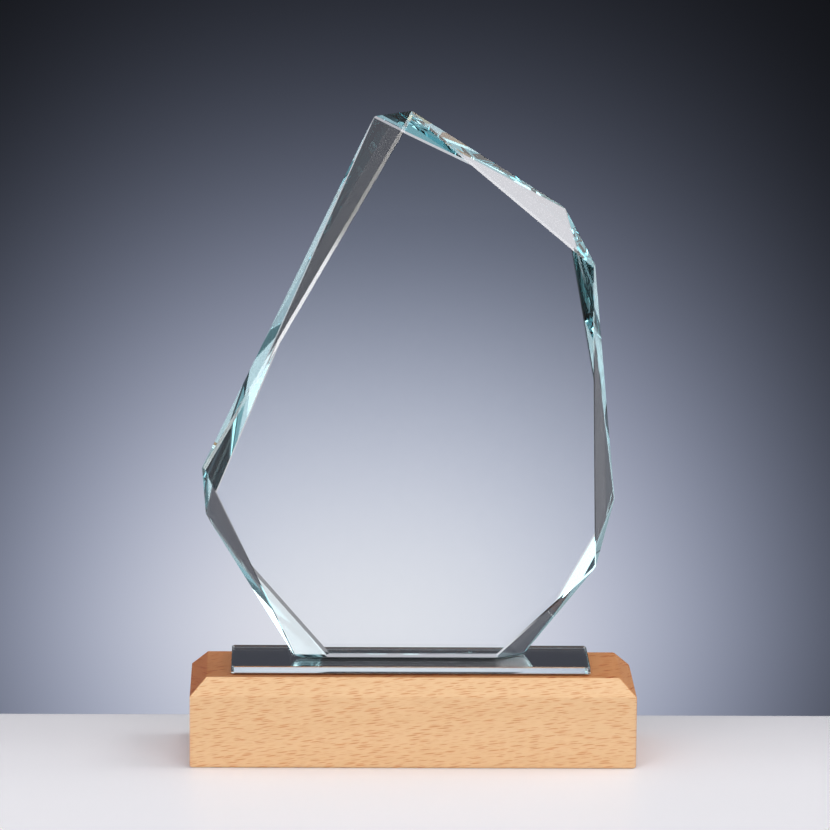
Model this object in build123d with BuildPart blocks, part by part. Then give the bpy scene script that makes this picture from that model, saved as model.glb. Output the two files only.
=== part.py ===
import os
from math import radians, tan

from build123d import *

# Crystal award: a faceted glass slab on a small mirror plate on a chamfered beech block.
# Millimetres. X is the width, Y the depth with the front at -Y, Z up from the table.

# Beech block
base_width = 150.0
base_depth = 50.0
base_height = 30.0
base_chamfer = 5.5  # one 45 degree chamfer mitred round all four top edges
crisp_edge = 0.4  # sawn edges, only broken with fine paper
soft_edge = 1.6  # edges of the right-hand end, sanded rounder
foot_edge = 0.8  # edges round the underside

# Two strips of double-sided tape under the mirror plate
tape_length = 112.0
tape_width = 10.0
tape_thickness = 0.5
tape_spacing = 16.0  # between the centre lines of the strips

# Mirror plate: clear glass with a silvered and painted underside
plate_width = 120.8
plate_depth = 33.0
plate_offset = -0.8  # glued on by eye, a little left of the middle of the block
backing_thickness = 0.1
backing_inset = 0.2
plate_thickness = 2.4
plate_arris = 0.3
plate_corner = 0.8

# Adhesive film under the slab
film_thickness = 0.2

# Iceberg slab
slab_thickness = 8.0

tape_bottom = base_height
backing_bottom = tape_bottom + tape_thickness
plate_bottom = backing_bottom + backing_thickness
film_bottom = plate_bottom + plate_thickness
slab_bottom = film_bottom + film_thickness

front_y = -slab_thickness / 2
back_y = slab_thickness / 2


def corner(x, y, height):
    return Vector(x, y, slab_bottom + height)


# Corners of the front face, clockwise from the peak, then the same for the back face.
front_peak = corner(-1.5, front_y, 185.5)
front_shoulder = corner(59.5, front_y, 134.5)
front_hip = corner(61.5, front_y, 31.5)
front_foot_right = corner(27.5, front_y, 0.0)
front_foot_left = corner(-39.5, front_y, 0.0)
front_side_left = corner(-70.5, front_y, 65.0)
back_peak = corner(-14.0, back_y, 183.5)
back_shoulder = corner(50.0, back_y, 153.0)
back_hip = corner(68.0, back_y, 53.5)
back_foot_right = corner(38.0, back_y, 0.0)
back_foot_left = corner(-28.5, back_y, 0.0)
back_side_left = corner(-70.0, back_y, 47.5)

# The peak, the right shoulder and the left side come to a tip a little behind the front face.
peak_tip = corner(-1.72, -3.5, 186.34)
shoulder_tip = corner(60.03, -3.38, 134.88)
left_tip = corner(-71.24, -3.38, 65.26)

slab_centre = corner(-1.0, 0.0, 80.0)

# Ground facets of the rim, each through three corners.
rim = {
    "peak": (peak_tip, back_peak, back_shoulder),
    "shoulder": (front_peak, back_shoulder, front_shoulder),
    "upper right": (shoulder_tip, back_shoulder, back_hip),
    "right": (front_shoulder, back_hip, front_hip),
    "hip": (front_hip, back_hip, back_foot_right),
    "lower right": (front_hip, back_foot_right, front_foot_right),
    "lower left": (front_foot_left, back_side_left, back_foot_left),
    "left": (front_foot_left, front_side_left, back_side_left),
    "left edge": (left_tip, back_peak, back_side_left),
    "upper left": (front_side_left, front_peak, back_peak),
}
foot = (front_foot_right, back_foot_right, back_foot_left)
front = (front_peak, front_shoulder, front_hip)
back = (back_peak, back_shoulder, back_hip)

# Polished arrises: edge start, edge end, the two faces that meet there, width of the band.
arrises = [
    (front_side_left, front_peak, front, rim["upper left"], 1.2),
    (front_peak, front_shoulder, front, rim["shoulder"], 0.9),
    (front_shoulder, front_hip, front, rim["right"], 0.4),
    (front_hip, front_foot_right, front, rim["lower right"], 0.8),
    (front_foot_right, front_foot_left, front, foot, 1.6),
    (front_foot_left, front_side_left, front, rim["left"], 0.4),
    (back_peak, back_shoulder, back, rim["peak"], 0.9),
    (back_shoulder, back_hip, back, rim["upper right"], 0.4),
    (back_hip, back_foot_right, back, rim["hip"], 0.6),
    (back_foot_right, back_foot_left, back, foot, 0.5),
    (back_foot_left, back_side_left, back, rim["lower left"], 1.2),
    (back_side_left, back_peak, back, rim["left edge"], 0.5),
]


def outward(points):
    """Unit normal of the plane through three corners, away from the middle of the slab."""
    a, b, c = points
    normal = (b - a).cross(c - a).normalized()
    if normal.dot(a - slab_centre) < 0:
        normal = normal * -1
    return normal


def facet_plane(points):
    return Plane(origin=points[0], x_dir=points[1] - points[0], z_dir=outward(points))


def arris_plane(start, end, face_a, face_b, width):
    """Plane that takes a band of this width off the edge, at the same angle to both faces."""
    normal_a = outward(face_a)
    normal_b = outward(face_b)
    middle = (normal_a + normal_b).normalized()
    depth = width / 2 * tan(radians(normal_a.get_angle(normal_b)) / 2)
    return Plane(origin=start - middle * depth, x_dir=end - start, z_dir=middle)


with BuildPart() as wood_base:
    with BuildSketch(Plane.XY):
        Rectangle(base_width, base_depth)
    extrude(amount=base_height)
    chamfer(wood_base.faces().sort_by(Axis.Z)[-1].edges(), base_chamfer)
    right_end = wood_base.edges().filter_by_position(
        Axis.X, base_width / 2 - base_chamfer - 0.1, base_width / 2 + 0.1
    )
    fillet(right_end.filter_by_position(Axis.Z, 1.0, base_height + 0.1), soft_edge)
    left_end = wood_base.edges().filter_by_position(
        Axis.X, -base_width / 2 - 0.1, -base_width / 2 + base_chamfer + 0.1
    )
    fillet(left_end.filter_by_position(Axis.Z, 1.0, base_height + 0.1), crisp_edge)
    fillet(wood_base.faces().sort_by(Axis.Z)[0].edges(), foot_edge)
wood_base.part.label = "wood_base"

with BuildPart() as plate_tape_front:
    with BuildSketch(Plane.XY.offset(tape_bottom)):
        with Locations((plate_offset, -tape_spacing / 2)):
            Rectangle(tape_length, tape_width)
    extrude(amount=tape_thickness)
plate_tape_front.part.label = "plate_tape_front"

with BuildPart() as plate_tape_rear:
    with BuildSketch(Plane.XY.offset(tape_bottom)):
        with Locations((plate_offset, tape_spacing / 2)):
            Rectangle(tape_length, tape_width)
    extrude(amount=tape_thickness)
plate_tape_rear.part.label = "plate_tape_rear"

with BuildPart() as mirror_backing:
    with BuildSketch(Plane.XY.offset(backing_bottom)):
        with Locations((plate_offset, 0)):
            RectangleRounded(plate_width - 2 * backing_inset, plate_depth - 2 * backing_inset, plate_corner)
    extrude(amount=backing_thickness)
mirror_backing.part.label = "mirror_backing"

with BuildPart() as mirror_plate:
    with BuildSketch(Plane.XY.offset(plate_bottom)) as plate_outline:
        with Locations((plate_offset, 0)):
            Rectangle(plate_width, plate_depth)
        chamfer(plate_outline.vertices(), plate_corner)
    extrude(amount=plate_thickness)
    chamfer(mirror_plate.faces().sort_by(Axis.Z)[-1].edges(), plate_arris)
mirror_plate.part.label = "mirror_plate"

with BuildPart() as slab_adhesive:
    with BuildSketch(Plane.XY.offset(film_bottom)):
        with BuildLine():
            Polyline(
                (front_foot_left.X, front_y),
                (front_foot_right.X, front_y),
                (back_foot_right.X, back_y),
                (back_foot_left.X, back_y),
                close=True,
            )
        make_face()
    extrude(amount=film_thickness)
slab_adhesive.part.label = "slab_adhesive"

with BuildPart() as iceberg_slab:
    with BuildSketch(Plane.XZ.offset(slab_thickness / 2)):
        with Locations((0, slab_bottom + 100)):
            Rectangle(200, 200)
    extrude(amount=-slab_thickness)
    for facet in rim.values():
        split(bisect_by=facet_plane(facet), keep=Keep.BOTTOM)
    for arris in arrises:
        split(bisect_by=arris_plane(*arris), keep=Keep.BOTTOM)
iceberg_slab.part.label = "iceberg_slab"

os.makedirs("parts", exist_ok=True)
export_step(wood_base.part, "parts/wood_base.step")
export_step(plate_tape_front.part, "parts/plate_tape_front.step")
export_step(plate_tape_rear.part, "parts/plate_tape_rear.step")
export_step(mirror_backing.part, "parts/mirror_backing.step")
export_step(mirror_plate.part, "parts/mirror_plate.step")
export_step(slab_adhesive.part, "parts/slab_adhesive.step")
export_step(iceberg_slab.part, "parts/iceberg_slab.step")
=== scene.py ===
"""Looks for the crystal award: glass slab, mirror plate and beech block on a pale table top."""

import math

import bmesh
import bpy
from mathutils import Matrix, Vector


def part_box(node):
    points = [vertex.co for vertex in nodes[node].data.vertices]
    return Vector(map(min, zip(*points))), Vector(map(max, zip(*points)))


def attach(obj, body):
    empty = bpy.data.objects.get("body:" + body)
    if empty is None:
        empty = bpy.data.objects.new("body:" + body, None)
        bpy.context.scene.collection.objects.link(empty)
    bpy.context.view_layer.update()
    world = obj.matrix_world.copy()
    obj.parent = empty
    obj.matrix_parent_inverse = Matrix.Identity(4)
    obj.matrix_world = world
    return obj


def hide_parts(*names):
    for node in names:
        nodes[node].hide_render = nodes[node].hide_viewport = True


MM = 0.001
BLACK = (0.0, 0.0, 0.0, 1.0)
WHITE = (1.0, 1.0, 1.0, 1.0)

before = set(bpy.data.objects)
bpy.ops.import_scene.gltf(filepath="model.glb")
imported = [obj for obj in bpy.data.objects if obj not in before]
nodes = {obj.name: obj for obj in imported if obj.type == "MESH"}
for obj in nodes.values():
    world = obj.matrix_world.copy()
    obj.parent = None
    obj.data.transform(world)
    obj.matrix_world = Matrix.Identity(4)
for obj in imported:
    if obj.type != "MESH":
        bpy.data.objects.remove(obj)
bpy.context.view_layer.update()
scene = bpy.context.scene


# ---------------------------------------------------------------- node helpers


class Tree:
    """Short calls for building one node tree."""

    def __init__(self, node_tree):
        self.tree = node_tree
        self.tree.nodes.clear()

    def node(self, kind, **settings):
        made = self.tree.nodes.new(kind)
        for name, value in settings.items():
            setattr(made, name, value)
        return made

    def link(self, source, socket):
        self.tree.links.new(source, socket)

    def feed(self, socket, value):
        if isinstance(value, bpy.types.NodeSocket):
            self.link(value, socket)
        else:
            socket.default_value = value

    def maths(self, operation, *values):
        made = self.node("ShaderNodeMath", operation=operation)
        for socket, value in zip(made.inputs, values):
            self.feed(socket, value)
        return made.outputs[0]

    def vector(self, operation, *values):
        made = self.node("ShaderNodeVectorMath", operation=operation)
        for socket, value in zip(made.inputs, values):
            self.feed(socket, value)
        single = operation in ("DOT_PRODUCT", "LENGTH")
        return made.outputs["Value" if single else "Vector"]

    def scaled(self, vector, factors):
        return self.vector("MULTIPLY", vector, factors)

    def ramp(self, value, low, high, out_low=0.0, out_high=1.0):
        made = self.node("ShaderNodeMapRange", interpolation_type="SMOOTHSTEP")
        for name, number in (
            ("Value", value),
            ("From Min", low),
            ("From Max", high),
            ("To Min", out_low),
            ("To Max", out_high),
        ):
            self.feed(made.inputs[name], number)
        return made.outputs["Result"]

    def mix(self, factor, first, second):
        made = self.node("ShaderNodeMix", data_type="RGBA")
        self.feed(made.inputs["Factor"], factor)
        self.feed(made.inputs["A"], first)
        self.feed(made.inputs["B"], second)
        return made.outputs["Result"]

    def noise(self, vector, scale, detail=2.0, roughness=0.5):
        made = self.node("ShaderNodeTexNoise")
        self.feed(made.inputs["Vector"], vector)
        made.inputs["Scale"].default_value = scale
        made.inputs["Detail"].default_value = detail
        made.inputs["Roughness"].default_value = roughness
        return made.outputs["Fac"]


def material(name):
    made = bpy.data.materials.new(name)
    made.use_nodes = True
    return made, Tree(made.node_tree)


def principled(tree, **values):
    """A Principled shader on the surface output, with the given socket values."""
    shader = tree.node("ShaderNodeBsdfPrincipled")
    output = tree.node("ShaderNodeOutputMaterial")
    tree.link(shader.outputs[0], output.inputs["Surface"])
    for name, value in values.items():
        tree.feed(shader.inputs[name.replace("_", " ")], value)
    return shader, output


# ------------------------------------------------------------------- materials


def beech():
    """Pale beech with short dark ray flecks that climb gently to the right."""
    made, t = material("beech")
    place = t.node("ShaderNodeTexCoord").outputs["Object"]
    split = t.node("ShaderNodeSeparateXYZ")
    t.link(place, split.inputs[0])
    x, y, z = split.outputs

    # The grain climbs to the right, more at the left end than at the right.
    climb = t.maths("MULTIPLY", x, t.maths("MULTIPLY_ADD", x, -0.16, 0.092))
    height = t.maths("SUBTRACT", z, climb)
    wander = t.noise(t.scaled(place, (25.0, 120.0, 120.0)), 1.0, 2.0)
    height = t.maths("MULTIPLY_ADD", wander, 0.0012, height)
    grain = t.node("ShaderNodeCombineXYZ")
    for socket, value in zip(grain.inputs, (x, y, height)):
        t.feed(socket, value)
    grain = grain.outputs[0]

    # The layers lean back a little, so that the top cuts them in broader flecks than the front.
    layer = t.maths("MULTIPLY_ADD", y, 0.2, height)

    def flecks(pitch, rows, length, thick):
        """1 inside thin lens shapes with the grain, at most one in a cell.

        A metre holds pitch cells along the grain and rows of them across it. The half length and the
        half thickness of the largest flecks are parts of a cell.
        """
        row = t.maths("MULTIPLY", layer, rows)
        spot = t.node("ShaderNodeCombineXYZ")
        # Each row is shifted against the last one, so that the flecks don't stand in columns.
        t.feed(spot.inputs[0], t.maths("MULTIPLY_ADD", row, -0.37, t.maths("MULTIPLY", x, pitch)))
        t.feed(spot.inputs[1], row)
        spot = spot.outputs[0]
        cells = t.node("ShaderNodeTexVoronoi", feature="F1", voronoi_dimensions="2D")
        t.feed(cells.inputs["Vector"], spot)
        cells.inputs["Scale"].default_value = 1.0
        cells.inputs["Randomness"].default_value = 0.9
        pick = t.node("ShaderNodeSeparateColor")
        t.link(cells.outputs["Color"], pick.inputs[0])
        off = t.vector("SUBTRACT", spot, cells.outputs["Position"])
        reach = t.vector("LENGTH", t.scaled(off, (1.0 / length, 1.0 / thick, 0.0)))
        size = t.maths("MULTIPLY_ADD", pick.outputs[0], 0.55, 0.45)
        shape = t.ramp(t.maths("DIVIDE", reach, size), 0.45, 1.0, 1.0, 0.0)
        strength = t.ramp(pick.outputs[1], 0.05, 0.55)
        return t.maths("MULTIPLY", shape, strength)

    strong = flecks(175.0, 1250.0, 0.50, 0.26)
    faint = flecks(240.0, 1700.0, 0.52, 0.28)
    rings = t.noise(t.scaled(grain, (7.0, 60.0, 150.0)), 1.0, 3.0, 0.55)
    fibre = t.noise(t.scaled(grain, (180.0, 2600.0, 2600.0)), 1.0, 3.0, 0.6)

    # The long sides are flat-sawn and pale; the top, the chamfers and the ends are deeper: partly real
    # end grain, partly painted shade for faces turned from the front lights, with more painted shade at
    # the left end.
    facing = t.node("ShaderNodeSeparateXYZ")
    t.link(t.node("ShaderNodeNewGeometry").outputs["True Normal"], facing.inputs[0])
    # Painted shade with real end grain: faces that don't face front or back get the deeper colour.
    shade_and_end_grain = t.ramp(t.maths("ABSOLUTE", facing.outputs[1]), 0.2, 0.6, 1.0, 0.0)
    # Painted shade: the left part of the block is darker, as the light comes more from the right.
    left = t.ramp(x, -0.078, 0.06, 1.0, 0.0)
    # Painted shade: faces turned to the left, the left end and its chamfer, are darker still.
    end = t.ramp(facing.outputs[0], -0.6, -0.1, 1.0, 0.0)

    pale = t.mix(rings, (0.79, 0.495, 0.25, 1.0), (0.87, 0.58, 0.325, 1.0))
    shaded_rich = t.mix(rings, (0.60, 0.255, 0.09, 1.0), (0.69, 0.305, 0.11, 1.0))
    shaded_rich = t.mix(left, shaded_rich, t.scaled(shaded_rich, (0.79, 0.73, 0.75)))
    shaded_rich = t.mix(end, shaded_rich, t.scaled(shaded_rich, (0.90, 0.74, 0.64)))
    base = t.mix(shade_and_end_grain, pale, shaded_rich)
    base = t.mix(t.ramp(fibre, 0.35, 0.8, 0.0, 0.35), base, t.scaled(base, (0.86, 0.74, 0.60)))
    dark = t.scaled(base, (0.84, 0.60, 0.42))
    colour = t.mix(t.maths("MULTIPLY", faint, 0.5), base, dark)
    colour = t.mix(strong, colour, t.scaled(dark, (0.90, 0.76, 0.66)))

    shader, _ = principled(t, Base_Color=colour, Roughness=t.ramp(fibre, 0.2, 0.8, 0.42, 0.56))
    bump = t.node("ShaderNodeBump")
    bump.inputs["Strength"].default_value = 0.25
    bump.inputs["Distance"].default_value = 0.00012
    t.feed(bump.inputs["Height"], t.maths("SUBTRACT", fibre, t.maths("MULTIPLY", strong, 0.6)))
    t.link(bump.outputs[0], shader.inputs["Normal"])
    return made


def clear_glass(name):
    """Polished clear glass that only shows its teal over a long path."""
    made, t = material(name)
    _, output = principled(t, Base_Color=WHITE, Roughness=0.0, IOR=1.52, Transmission_Weight=1.0)
    depth = t.node("ShaderNodeVolumeAbsorption")
    depth.inputs["Color"].default_value = (0.0, 0.66, 0.74, 1.0)
    depth.inputs["Density"].default_value = 4.0
    t.link(depth.outputs[0], output.inputs["Volume"])
    return made


def silvering():
    """Bright silver film, laid a little unevenly."""
    made, t = material("silvering")
    place = t.node("ShaderNodeTexCoord").outputs["Object"]
    clouds = t.noise(place, 90.0, 3.0)
    colour = t.mix(t.ramp(clouds, 0.3, 0.7), (0.84, 0.85, 0.86, 1.0), (0.88, 0.89, 0.90, 1.0))
    roughness = t.ramp(clouds, 0.3, 0.7, 0.03, 0.012)
    principled(t, Base_Color=colour, Metallic=1.0, Roughness=roughness)
    return made


def cured_adhesive():
    """The cured film, painted near black: painted shade that stands in for the dark showing where it
    couples both pieces of glass.
    """
    made, t = material("cured_adhesive")
    place = t.node("ShaderNodeTexCoord").outputs["Object"]
    patches = t.noise(place, 400.0, 2.0)
    colour = t.mix(patches, (0.010, 0.014, 0.015, 1.0), (0.030, 0.038, 0.042, 1.0))
    principled(t, Base_Color=colour, Roughness=0.4)
    return made


def foam_tape():
    """Dark foam with fine cells."""
    made, t = material("foam_tape")
    place = t.node("ShaderNodeTexCoord").outputs["Object"]
    cells = t.noise(place, 1500.0, 3.0)
    colour = t.mix(cells, (0.05, 0.04, 0.035, 1.0), (0.12, 0.10, 0.09, 1.0))
    principled(t, Base_Color=colour, Roughness=0.9)
    return made


def table_top():
    """Satin white sheet, with painted shade that greys it towards its far edge, where the light falls
    off.

    Well in front of the award, out of the picture, painted shade darkens it to black, so that the slab
    doesn't mirror its front edge.
    """
    made, t = material("table_top")
    split = t.node("ShaderNodeSeparateXYZ")
    t.link(t.node("ShaderNodeTexCoord").outputs["Object"], split.inputs[0])
    y = split.outputs[1]
    # Painted shade: greyer towards the far edge.
    near = t.ramp(y, -0.05, 0.085, 1.0, 0.0)
    colour = t.mix(near, (0.64, 0.635, 0.665, 1.0), (0.89, 0.885, 0.92, 1.0))
    # Painted shade: black well in front, out of the picture.
    colour = t.mix(t.ramp(y, -1.15, -0.35, 0.02, 1.0), BLACK, colour)
    principled(t, Base_Color=colour, Roughness=0.45, Specular_IOR_Level=0.25)
    return made


# ---------------------------------------------------------------------- studio


def studio_world():
    """A dark studio with a soft pool of light low on the backdrop, lamps and reflectors.

    All of it is by direction, in degrees: the azimuth is 0 behind the award and grows to the right.
    """
    world = bpy.data.worlds.new("studio")
    scene.world = world
    world.use_nodes = True
    t = Tree(world.node_tree)
    way = t.node("ShaderNodeTexCoord").outputs["Generated"]
    way = t.vector("NORMALIZE", way)
    split = t.node("ShaderNodeSeparateXYZ")
    t.link(way, split.inputs[0])
    x, y, z = split.outputs
    degrees = 180.0 / math.pi
    azimuth = t.maths("MULTIPLY", t.maths("ARCTAN2", x, y), degrees)
    elevation = t.maths("MULTIPLY", t.maths("ARCSINE", z), degrees)

    def falloff(angle, centre, width, power):
        """Exponent of a bell that is 1 at the centre."""
        off = t.maths("ABSOLUTE", t.maths("DIVIDE", t.maths("SUBTRACT", angle, centre), width))
        return t.maths("MULTIPLY", t.maths("POWER", off, power), -1.0)

    # The pool of light, bluer towards its rim.
    across = falloff(azimuth, 0.8, 3.25, 2.3)
    pool = t.maths("EXPONENT", t.maths("ADD", across, falloff(elevation, -12.6, 2.83, 1.73)))
    hue = t.mix(pool, (0.70, 0.80, 1.14, 1.0), (0.735, 0.748, 0.805, 1.0))
    pool = t.mix(pool, BLACK, hue)

    # The room, by the angle from the middle of the pool: dim round the backdrop, lighter to the
    # sides and overhead, dark behind the camera. Under the horizon a pale floor.
    pool_middle = (0.015, 0.978, -0.208)
    away = t.maths("MULTIPLY", t.maths("ARCCOSINE", t.vector("DOT_PRODUCT", way, pool_middle)), degrees)
    near = t.maths("ADD", t.ramp(away, 6.0, 20.0, 0.004, 0.06), t.ramp(away, 24.0, 32.0, 0.0, 0.025))
    near = t.maths("MULTIPLY", near, t.ramp(elevation, 14.0, 26.0, 1.0, 0.3))
    far = t.ramp(away, 42.0, 78.0, 0.0, 0.49)
    room = t.maths("MULTIPLY", t.maths("ADD", near, far), t.ramp(away, 135.0, 160.0, 1.0, 0.15))
    hue = t.mix(t.ramp(away, 40.0, 60.0), (0.95, 1.0, 1.23, 1.0), (0.98, 1.0, 1.05, 1.0))
    room = t.mix(room, BLACK, hue)
    floor = t.mix(t.ramp(elevation, -27.0, -21.0, 0.43, 0.0), BLACK, (1.0, 0.99, 1.05, 1.0))
    total = t.vector("ADD", t.vector("ADD", room, floor), pool)

    def softbox(at, tilt, half_wide, half_high, light, tint):
        """A rectangle of light, black outside it, centred on the azimuth at and the elevation tilt."""
        a, e = math.radians(at), math.radians(tilt)
        aim = Vector((math.sin(a) * math.cos(e), math.cos(a) * math.cos(e), math.sin(e)))
        side = Vector((math.cos(a), -math.sin(a), 0.0))
        up = side.cross(aim)
        ahead = t.vector("DOT_PRODUCT", way, tuple(aim))
        share = 1.0
        for axis, half in ((side, half_wide), (up, half_high)):
            off = t.maths("DIVIDE", t.vector("DOT_PRODUCT", way, tuple(axis)), ahead)
            edge = math.tan(math.radians(half))
            inside = t.ramp(t.maths("ABSOLUTE", off), edge * 0.9, edge, 1.0, 0.0)
            share = t.maths("MULTIPLY", share, inside)
        share = t.maths("MULTIPLY", share, t.maths("GREATER_THAN", ahead, 0.0))
        return t.mix(share, BLACK, tuple(light * c for c in tint) + (1.0,))

    # Each has its azimuth, elevation, half width, half height, light and tint.
    warm = (1.0, 0.985, 0.97)
    cool = (0.97, 0.97, 1.03)
    lamps = (
        # in front of the award
        (-149.0, 12.0, 9.5, 10.0, 6.6, warm),
        (-166.0, 8.0, 8.0, 7.0, 0.7, warm),
        (150.0, 24.0, 9.0, 9.0, 4.6, warm),
        (-158.0, 58.0, 22.0, 14.0, 1.7, warm),
        # beside it
        (86.0, 44.0, 13.0, 11.0, 3.6, warm),
        (-79.0, 22.0, 11.0, 8.0, 1.3, warm),
        # over it
        (60.0, 82.0, 15.0, 15.0, 2.4, warm),
    )
    # All outside the picture, round the backdrop and one far to the right.
    reflectors = (
        (1.0, 18.0, 12.0, 3.0, 0.5, cool),
        (30.0, 10.5, 6.0, 4.5, 0.88, (0.93, 1.0, 1.03)),
        (-1.0, -18.7, 17.5, 4.5, 0.6, cool),
        (-11.0, -3.0, 4.0, 2.5, 0.7, cool),
        (9.0, -4.5, 3.0, 2.5, 0.25, cool),
        (76.0, -6.0, 12.0, 8.0, 0.45, cool),
    )
    for values in lamps + reflectors:
        total = t.vector("ADD", total, softbox(*values))

    background = t.node("ShaderNodeBackground")
    output = t.node("ShaderNodeOutputWorld")
    t.link(total, background.inputs["Color"])
    t.link(background.outputs[0], output.inputs["Surface"])
    world.cycles.sampling_method = "MANUAL"
    world.cycles.sample_map_resolution = 2048


def table():
    """A thick sheet with a rounded far edge, just behind the award."""
    half_width, thick = 0.9, 0.03
    front, back = -1.2, 0.063
    radius, steps = 0.012, 8
    mesh = bmesh.new()
    profile = [(front, -thick), (front, 0.0)]
    for step in range(steps + 1):
        turn = math.pi / 2 * step / steps
        profile.append((back - radius + radius * math.sin(turn), -radius + radius * math.cos(turn)))
    profile.append((back, -thick))
    rows = [[mesh.verts.new((x, y, z)) for y, z in profile] for x in (-half_width, half_width)]
    for a, b, c, d in zip(rows[0], rows[0][1:], rows[1][1:], rows[1]):
        mesh.faces.new((a, b, c, d))
    mesh.faces.new((rows[0][-1], rows[0][0], rows[1][0], rows[1][-1]))
    mesh.faces.new(rows[0])
    mesh.faces.new(list(reversed(rows[1])))
    bmesh.ops.recalc_face_normals(mesh, faces=mesh.faces)
    data = bpy.data.meshes.new("table")
    mesh.to_mesh(data)
    mesh.free()
    made = bpy.data.objects.new("table", data)
    scene.collection.objects.link(made)
    data.materials.append(table_top())


def camera():
    """Long lens, 2 m in front of the award and half a metre up, turned a little to the right."""
    eye = (-0.0417, -2.0269, 0.4952)
    turn, tilt, lean = math.radians(-1.186), math.radians(10.594), math.radians(0.436)
    ahead = Vector((-math.sin(turn) * math.cos(tilt), math.cos(turn) * math.cos(tilt), -math.sin(tilt)))
    right = Vector((math.cos(turn), math.sin(turn), 0.0))
    up = right.cross(ahead)
    side = right * math.cos(lean) + up * math.sin(lean)
    top = up * math.cos(lean) - right * math.sin(lean)
    basis = Matrix((side, top, -ahead)).transposed()
    data = bpy.data.cameras.new("camera")
    data.sensor_width = 36.0
    data.lens = 266.04
    data.clip_end = 20.0
    made = bpy.data.objects.new("camera", data)
    made.matrix_world = Matrix.Translation(eye) @ basis.to_4x4()
    scene.collection.objects.link(made)
    scene.camera = made


# ---------------------------------------------------------------------- pieces


def dress(name, made):
    """Gives a CAD node this material alone."""
    slots = nodes[name].material_slots
    if not slots:
        nodes[name].data.materials.append(made)
    for slot in slots:
        slot.material = made


def dress_piece(piece, made, node):
    """Gives a piece its material and puts it in the place of its CAD node."""
    piece.data.materials.clear()
    piece.data.materials.append(made)
    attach(piece, "root")
    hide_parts(node)


def sunk_copy(node, name, drop, share):
    """The node's own mesh, lowered by drop and with share of its width and depth.

    Lowered, its top and underside don't fall in one plane with the glass or the tapes.
    """
    source = nodes[node]
    data = source.data.copy()
    low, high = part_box(node)
    middle = (low + high) / 2
    place = source.matrix_world
    back = place.inverted()
    for vertex in data.vertices:
        point = place @ vertex.co
        point.x = middle.x + (point.x - middle.x) * share
        point.y = middle.y + (point.y - middle.y) * share
        point.z -= drop
        vertex.co = back @ point
    piece = bpy.data.objects.new(name, data)
    piece.matrix_world = place
    scene.collection.objects.link(piece)
    return piece


dress("wood_base", beech())
tape = foam_tape()
dress("plate_tape_front", tape)
dress("plate_tape_rear", tape)
dress("mirror_plate", clear_glass("plate_glass"))
dress("iceberg_slab", clear_glass("slab_glass"))

sink = 0.02 * MM
silver = sunk_copy("mirror_backing", "silver_film", sink, 1.0)
dress_piece(silver, silvering(), "mirror_backing")

# The cured film stays a little inside the slab's foot.
film = sunk_copy("slab_adhesive", "cured_film", sink, 0.985)
dress_piece(film, cured_adhesive(), "slab_adhesive")

studio_world()
table()
camera()

scene.view_settings.view_transform = "Standard"
# Without the pass of normals the denoiser leaves less grain in the slab's rim.
scene.cycles.use_denoising = True
scene.cycles.denoising_input_passes = "RGB_ALBEDO"
scene.cycles.max_bounces = 40
scene.cycles.transmission_bounces = 40
scene.cycles.glossy_bounces = 24
scene.cycles.diffuse_bounces = 4
scene.cycles.transparent_max_bounces = 16
scene.cycles.sample_clamp_indirect = 12.0
scene.cycles.seed = 7
